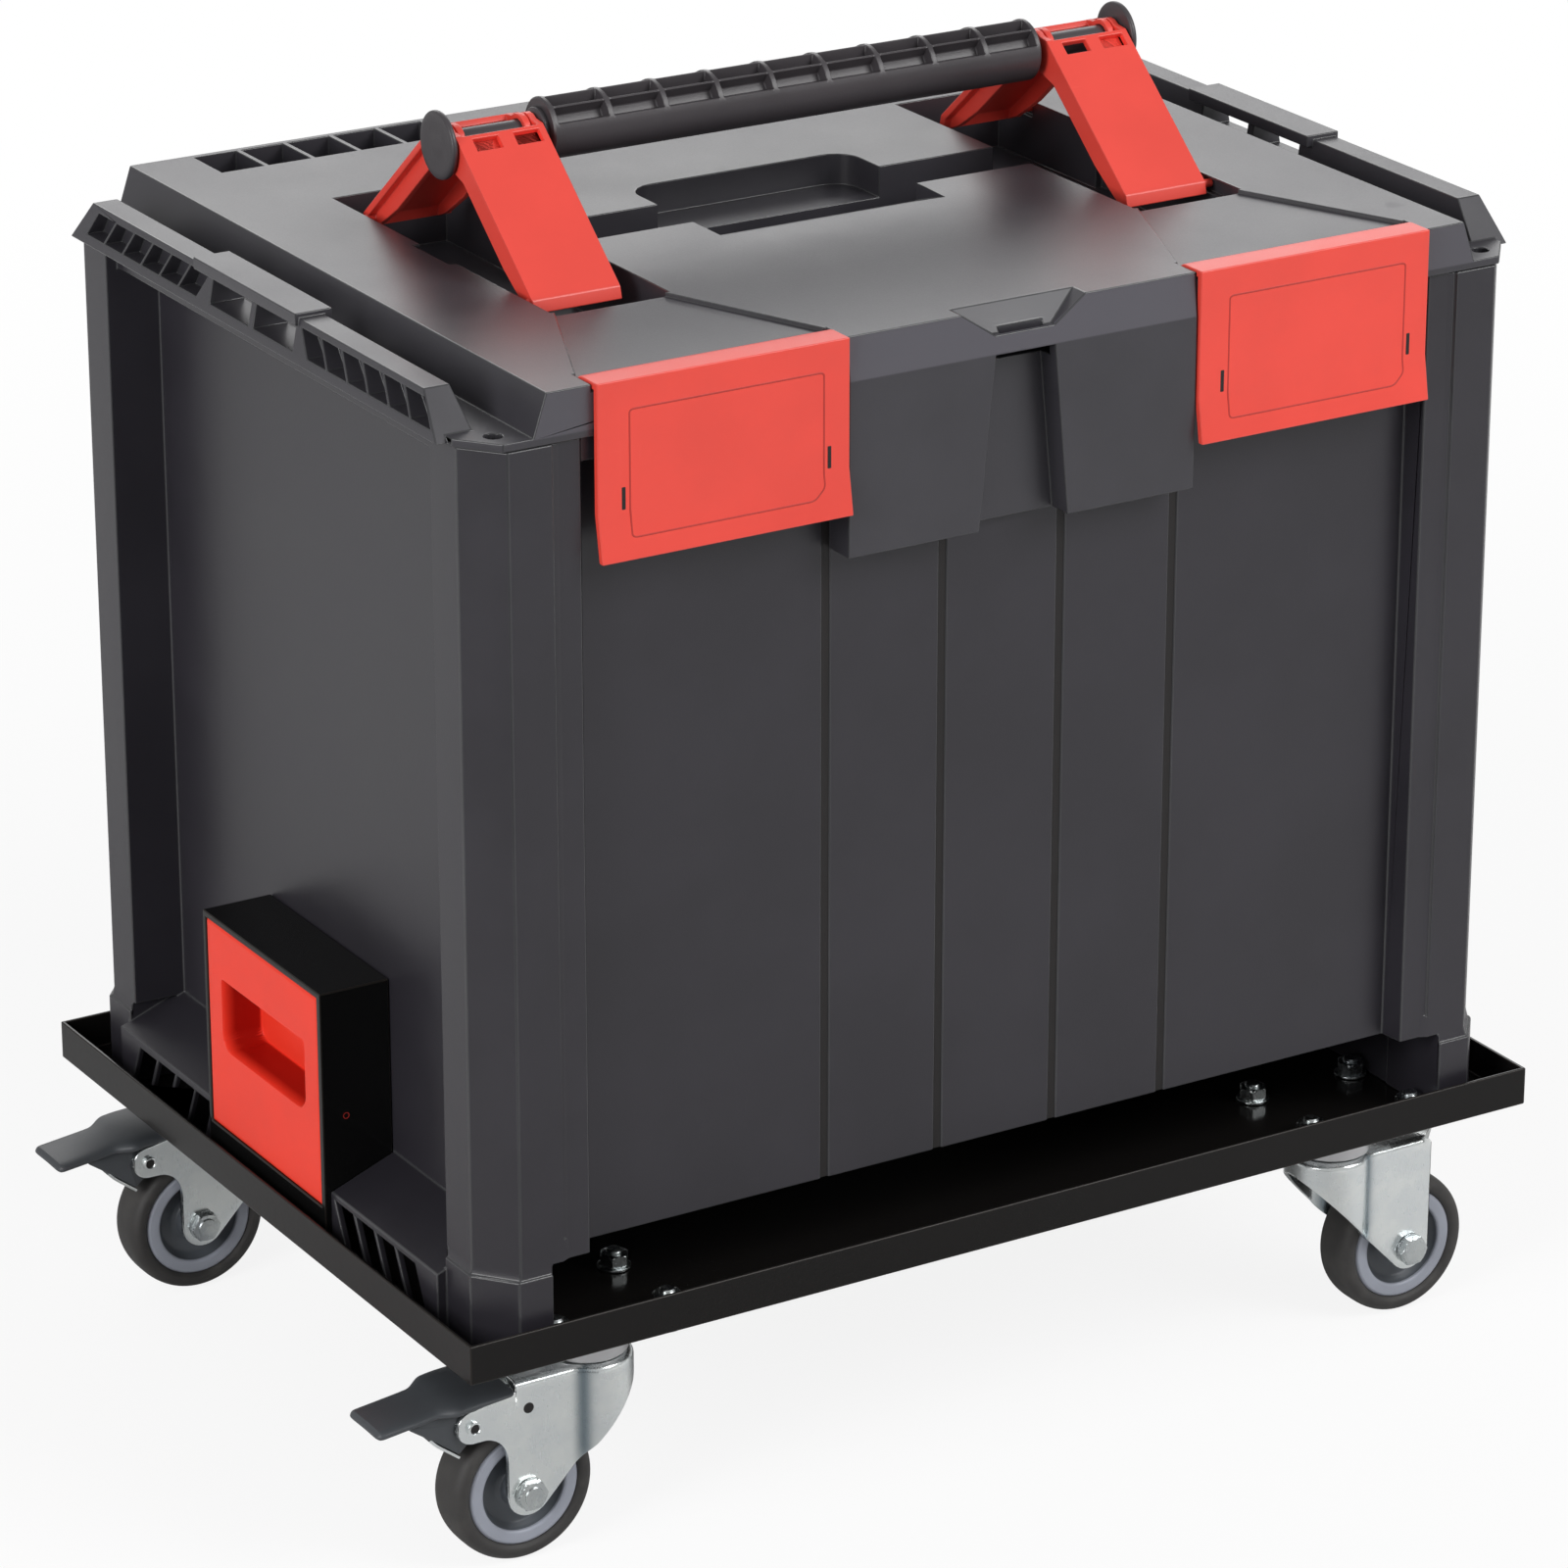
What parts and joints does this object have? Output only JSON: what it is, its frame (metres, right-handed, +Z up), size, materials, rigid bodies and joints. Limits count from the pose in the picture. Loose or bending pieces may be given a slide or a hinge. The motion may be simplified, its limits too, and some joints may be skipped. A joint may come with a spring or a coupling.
{
  "type": "tool case on a castor dolly",
  "caption": "Large black stacking tool case with red flap latches and a folding bar handle, locked into a low steel tray dolly that rolls on swivel castors with foot brakes.",
  "frame": {"origin": "on the floor, under the middle of the bounding box", "axes": "+Z up, +X to the right of the case seen from its front, so the front with the latches faces -Y"},
  "size_m": [0.6378, 0.432, 0.6503],
  "materials": {
    "case_plastic": "satin black moulded plastic with a fine grain",
    "grip_plastic": "black moulded plastic",
    "red_plastic": "satin red moulded plastic",
    "tray_coat": "glossy black powder coat on sheet steel",
    "pin_steel": "plain bright steel",
    "zinc": "bright zinc plated pressed steel",
    "wheel_core": "pale blue-grey moulded plastic",
    "tyre_rubber": "dark grey non-marking rubber",
    "pedal_plastic": "slate grey moulded plastic"
  },
  "bodies": {
    "base": {"case_body": "case_plastic", "dolly_tray": "tray_coat", "lock_housing_left": "tray_coat", "lock_housing_right": "tray_coat", "hinge_pin_left": "pin_steel", "hinge_pin_right": "pin_steel", "castor_plate_fl": "zinc", "castor_plate_fr": "zinc", "castor_plate_bl": "zinc", "castor_plate_br": "zinc", "castor_bolt_fl_1": "zinc", "castor_bolt_fl_2": "zinc", "castor_bolt_fl_3": "zinc", "castor_bolt_fl_4": "zinc", "castor_bolt_fr_1": "zinc", "castor_bolt_fr_2": "zinc", "castor_bolt_fr_3": "zinc", "castor_bolt_fr_4": "zinc", "castor_bolt_bl_1": "zinc", "castor_bolt_bl_2": "zinc", "castor_bolt_bl_3": "zinc", "castor_bolt_bl_4": "zinc", "castor_bolt_br_1": "zinc", "castor_bolt_br_2": "zinc", "castor_bolt_br_3": "zinc", "castor_bolt_br_4": "zinc"},
    "lid": {"lid_shell": "case_plastic", "latch_pin_left": "pin_steel", "latch_pin_right": "pin_steel"},
    "latch_left": {"latch_left": "red_plastic"},
    "latch_right": {"latch_right": "red_plastic"},
    "handle": {"handle_grip": "grip_plastic", "handle_rod": "grip_plastic", "handle_cap_left": "grip_plastic", "handle_cap_right": "grip_plastic"},
    "front_legs": {"handle_leg_front_left": "red_plastic", "handle_leg_front_right": "red_plastic"},
    "rear_legs": {"handle_leg_rear_left": "red_plastic", "handle_leg_rear_right": "red_plastic"},
    "lock_left": {"lock_slider_left": "red_plastic"},
    "lock_right": {"lock_slider_right": "red_plastic"},
    "swivel_fl": {"castor_fork_fl": "zinc", "axle_fl": "zinc"},
    "wheel_fl": {"wheel_core_fl": "wheel_core", "tyre_fl": "tyre_rubber"},
    "swivel_fr": {"castor_fork_fr": "zinc", "axle_fr": "zinc"},
    "wheel_fr": {"wheel_core_fr": "wheel_core", "tyre_fr": "tyre_rubber"},
    "swivel_bl": {"castor_fork_bl": "zinc", "axle_bl": "zinc"},
    "wheel_bl": {"wheel_core_bl": "wheel_core", "tyre_bl": "tyre_rubber"},
    "swivel_br": {"castor_fork_br": "zinc", "axle_br": "zinc"},
    "wheel_br": {"wheel_core_br": "wheel_core", "tyre_br": "tyre_rubber"},
    "brake_fl": {"brake_pedal_fl": "pedal_plastic"},
    "brake_bl": {"brake_pedal_bl": "pedal_plastic"}
  },
  "joints": [
    {"name": "lid_hinge", "type": "hinge", "parent": "base", "child": "lid", "pos_m": [0.01888, 0.2112, 0.558], "axis": [-1, 0, 0], "range_deg": [0, 90]},
    {"name": "latch_left_flap", "type": "hinge", "parent": "lid", "child": "latch_left", "pos_m": [-0.14112, -0.1965, 0.5768], "axis": [-1, 0, 0], "range_deg": [0, 100]},
    {"name": "latch_right_flap", "type": "hinge", "parent": "lid", "child": "latch_right", "pos_m": [0.17888, -0.1965, 0.5768], "axis": [-1, 0, 0], "range_deg": [0, 100]},
    {"name": "handle_drop", "type": "slide", "parent": "lid", "child": "handle", "axis": [0, 0, -1], "range_m": [0, 0.0643]},
    {"name": "front_leg_fold", "type": "hinge", "parent": "handle", "child": "front_legs", "pos_m": [0.01888, 0, 0.634], "axis": [-1, 0, 0], "range_deg": [0, 40.3]},
    {"name": "rear_leg_fold", "type": "hinge", "parent": "handle", "child": "rear_legs", "pos_m": [0.01888, 0, 0.634], "axis": [1, 0, 0], "range_deg": [0, 40.3]},
    {"name": "lock_left_pull", "type": "slide", "parent": "base", "child": "lock_left", "axis": [-1, 0, 0], "range_m": [0, 0.012]},
    {"name": "lock_right_pull", "type": "slide", "parent": "base", "child": "lock_right", "axis": [1, 0, 0], "range_m": [0, 0.012]},
    {"name": "swivel_fl_turn", "type": "hinge", "parent": "base", "child": "swivel_fl", "pos_m": [-0.19512, -0.17, 0.1085], "axis": [0, 0, 1], "continuous": true},
    {"name": "wheel_fl_roll", "type": "hinge", "parent": "swivel_fl", "child": "wheel_fl", "pos_m": [-0.23512, -0.17, 0.0375], "axis": [0, 1, 0], "continuous": true},
    {"name": "swivel_fr_turn", "type": "hinge", "parent": "base", "child": "swivel_fr", "pos_m": [0.23288, -0.17, 0.1085], "axis": [0, 0, 1], "continuous": true},
    {"name": "wheel_fr_roll", "type": "hinge", "parent": "swivel_fr", "child": "wheel_fr", "pos_m": [0.27288, -0.17, 0.0375], "axis": [0, 1, 0], "continuous": true},
    {"name": "swivel_bl_turn", "type": "hinge", "parent": "base", "child": "swivel_bl", "pos_m": [-0.19512, 0.17, 0.1085], "axis": [0, 0, 1], "continuous": true},
    {"name": "wheel_bl_roll", "type": "hinge", "parent": "swivel_bl", "child": "wheel_bl", "pos_m": [-0.23512, 0.17, 0.0375], "axis": [0, 1, 0], "continuous": true},
    {"name": "swivel_br_turn", "type": "hinge", "parent": "base", "child": "swivel_br", "pos_m": [0.23288, 0.17, 0.1085], "axis": [0, 0, 1], "continuous": true},
    {"name": "wheel_br_roll", "type": "hinge", "parent": "swivel_br", "child": "wheel_br", "pos_m": [0.27288, 0.17, 0.0375], "axis": [0, 1, 0], "continuous": true},
    {"name": "brake_fl_press", "type": "hinge", "parent": "swivel_fl", "child": "brake_fl", "pos_m": [-0.26438, -0.17, 0.07928], "axis": [0, -1, 0], "range_deg": [0, 12]},
    {"name": "brake_bl_press", "type": "hinge", "parent": "swivel_bl", "child": "brake_bl", "pos_m": [-0.26438, 0.17, 0.07928], "axis": [0, -1, 0], "range_deg": [0, 12]}
  ],
  "couplings": [
    {"joint": "front_leg_fold", "follows": "handle_drop", "rad_per_m": 10.939},
    {"joint": "rear_leg_fold", "follows": "handle_drop", "rad_per_m": 10.939}
  ]
}
